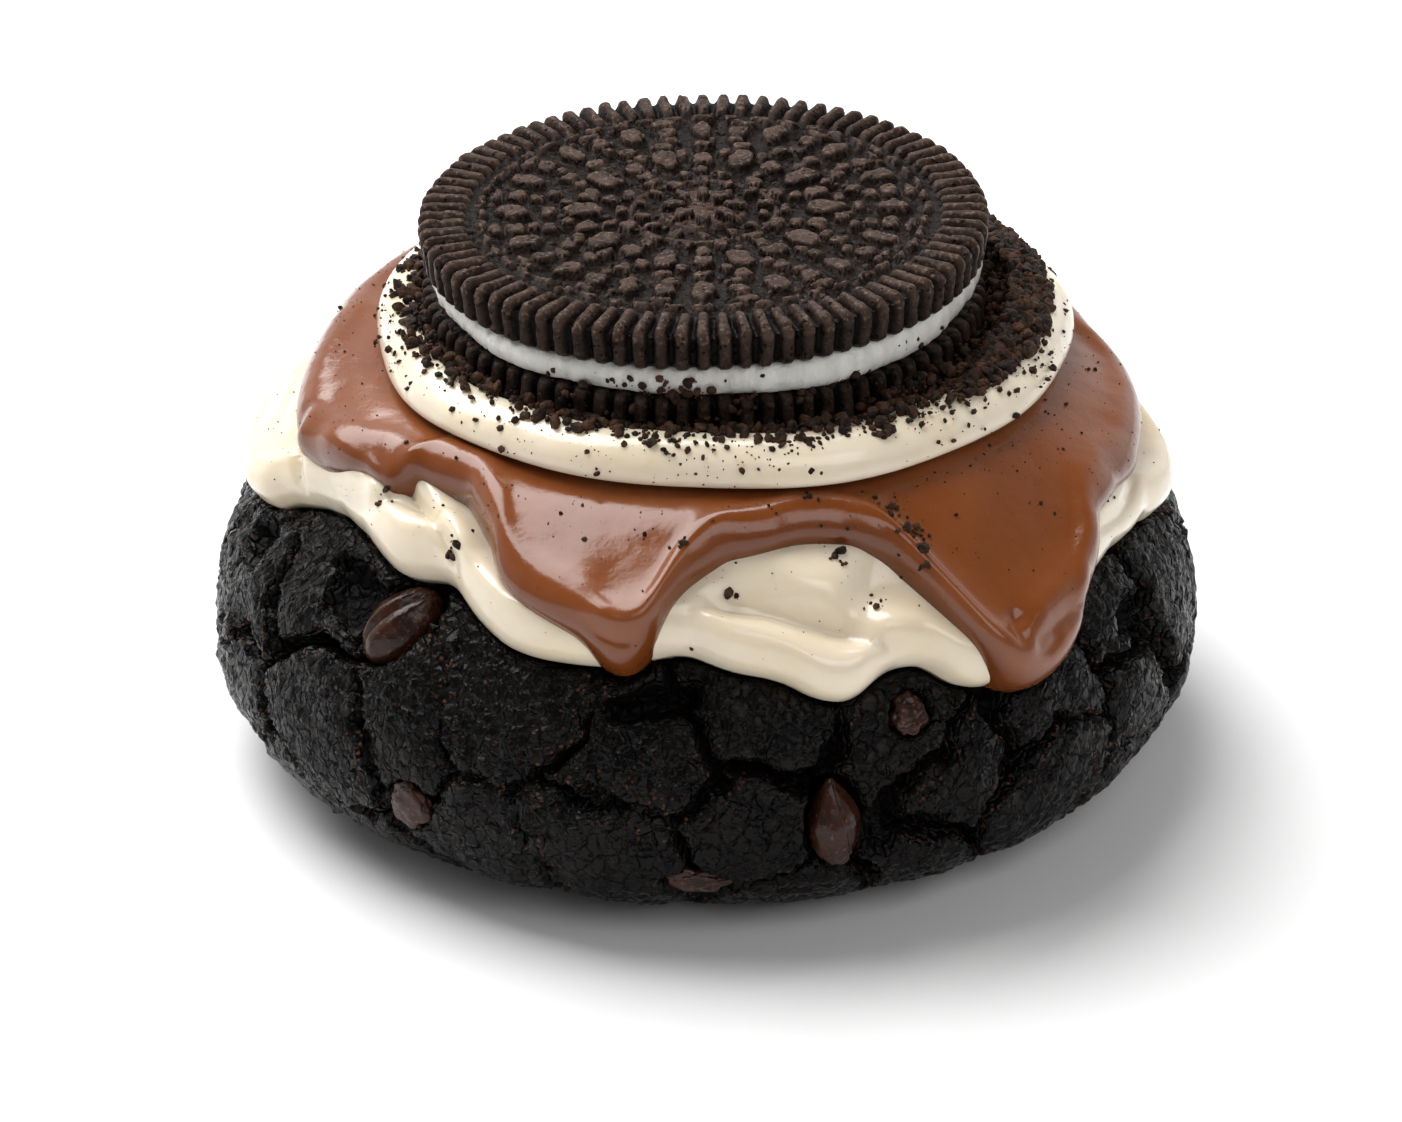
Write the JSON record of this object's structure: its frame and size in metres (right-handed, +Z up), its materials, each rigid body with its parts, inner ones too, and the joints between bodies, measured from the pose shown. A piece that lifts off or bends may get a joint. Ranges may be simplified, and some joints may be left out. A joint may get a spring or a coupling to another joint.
{
  "type": "cookies and cream cookie",
  "caption": "Thick dark chocolate cookie with a cracked crust, under cream frosting, chocolate sauce and a cream-filled sandwich biscuit.",
  "frame": {"origin": "middle of the flat base that the cookie rests on", "axes": "+Z up through the sandwich biscuit, -Y towards the side that the picture shows, +X to that view's right"},
  "size_m": [0.08, 0.0803, 0.0468],
  "materials": {
    "dough": "near-black baked crust, cracked and finely wrinkled, with a slight oily gloss",
    "chips": "half-melted dark chocolate, glossy",
    "frosting": "smooth ivory cream frosting, soft gloss",
    "sauce": "set milk chocolate sauce, smooth and glossy",
    "cream": "ivory cream dusted with dark biscuit crumbs",
    "wafer": "dark cocoa biscuit, matte and finely pitted",
    "filling": "white vanilla cream filling"
  },
  "bodies": {
    "root": {"cookie_dough": "dough", "chip_left": "chips", "chip_drop": "chips", "chip_flat": "chips", "chip_base": "chips", "chip_notch": "chips", "chip_right": "chips", "chip_back": "chips", "chip_back_low": "chips", "chip_far_left": "chips", "frosting": "frosting", "chocolate_sauce": "sauce", "cream_bed": "cream", "lower_wafer": "wafer", "filling": "filling", "upper_wafer": "wafer"}
  },
  "joints": []
}
